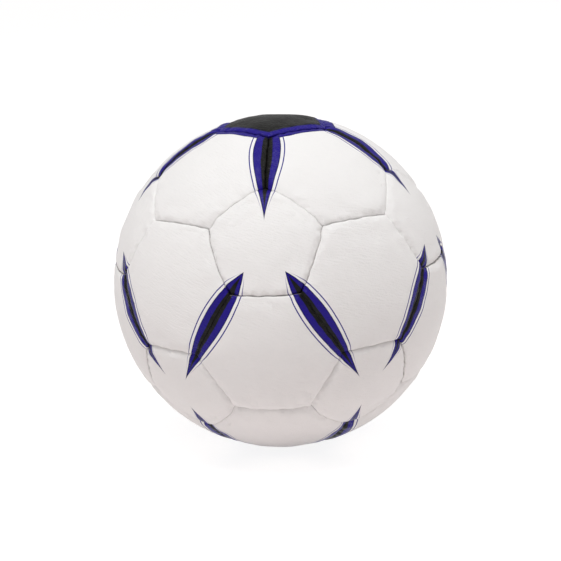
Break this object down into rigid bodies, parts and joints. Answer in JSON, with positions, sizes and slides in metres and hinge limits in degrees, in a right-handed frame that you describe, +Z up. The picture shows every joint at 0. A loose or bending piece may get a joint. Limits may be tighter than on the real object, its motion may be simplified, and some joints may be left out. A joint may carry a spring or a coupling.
{
  "type": "futsal ball",
  "caption": "Hand-sewn futsal ball of pentagon and hexagon panels over padding, thread seams, a rubber bladder with bounce-deadening wadding, and a needle valve with a removable plug.",
  "frame": {"origin": "centre of the ball", "axes": "+Z up through the top pentagon, -Y towards the front pentagon of the upper ring, +X to the right seen from the front; the valve is at the back, a little above the equator"},
  "size_m": [0.1718, 0.1718, 0.1718],
  "materials": {
    "cover_white": "satin white synthetic leather with a fine grain",
    "cover_dark": "satin charcoal synthetic leather with a fine grain",
    "foam": "closed-cell foam",
    "cloth": "plain woven cotton plies",
    "thread": "waxed polyester thread",
    "bladder": "dull butyl rubber",
    "wadding": "loose felted fibre",
    "valve": "moulded rubber",
    "valve_plug": "moulded rubber"
  },
  "bodies": {
    "ball": {"pentagon_top": "cover_dark", "pentagon_upper_1": "cover_white", "pentagon_upper_2": "cover_white", "pentagon_upper_3": "cover_white", "pentagon_upper_4": "cover_white", "pentagon_upper_5": "cover_white", "pentagon_lower_1": "cover_white", "pentagon_lower_2": "cover_white", "pentagon_lower_3": "cover_white", "pentagon_lower_4": "cover_white", "pentagon_lower_5": "cover_white", "pentagon_bottom": "cover_dark", "hexagon_top_1": "cover_white", "hexagon_top_2": "cover_white", "hexagon_top_3": "cover_white", "hexagon_top_4": "cover_white", "hexagon_top_5": "cover_white", "hexagon_upper_1": "cover_white", "hexagon_upper_2": "cover_white", "hexagon_upper_4": "cover_white", "hexagon_upper_5": "cover_white", "hexagon_lower_1": "cover_white", "hexagon_lower_2": "cover_white", "hexagon_lower_3": "cover_white", "hexagon_lower_4": "cover_white", "hexagon_lower_5": "cover_white", "hexagon_bottom_1": "cover_white", "hexagon_bottom_2": "cover_white", "hexagon_bottom_3": "cover_white", "hexagon_bottom_4": "cover_white", "hexagon_bottom_5": "cover_white", "valve_panel": "cover_white", "pentagon_foam": "foam", "hexagon_foam": "foam", "pentagon_cloth": "cloth", "hexagon_cloth": "cloth", "thread_pentagon_top": "thread", "thread_pentagon_upper_1": "thread", "thread_pentagon_upper_2": "thread", "thread_pentagon_upper_3": "thread", "thread_pentagon_upper_4": "thread", "thread_pentagon_upper_5": "thread", "thread_pentagon_lower_1": "thread", "thread_pentagon_lower_2": "thread", "thread_pentagon_lower_3": "thread", "thread_pentagon_lower_4": "thread", "thread_pentagon_lower_5": "thread", "thread_pentagon_bottom": "thread", "thread_top_rays": "thread", "thread_upper_ring": "thread", "thread_equator": "thread", "thread_lower_ring": "thread", "thread_bottom_rays": "thread", "bladder": "bladder", "wadding": "wadding", "valve_housing": "valve"},
    "valve_plug": {"valve_plug": "valve_plug"}
  },
  "joints": [
    {"name": "valve_plug_slide", "type": "slide", "parent": "ball", "child": "valve_plug", "axis": [0, 0.9822, 0.1876], "range_m": [0, 0.02]}
  ]
}
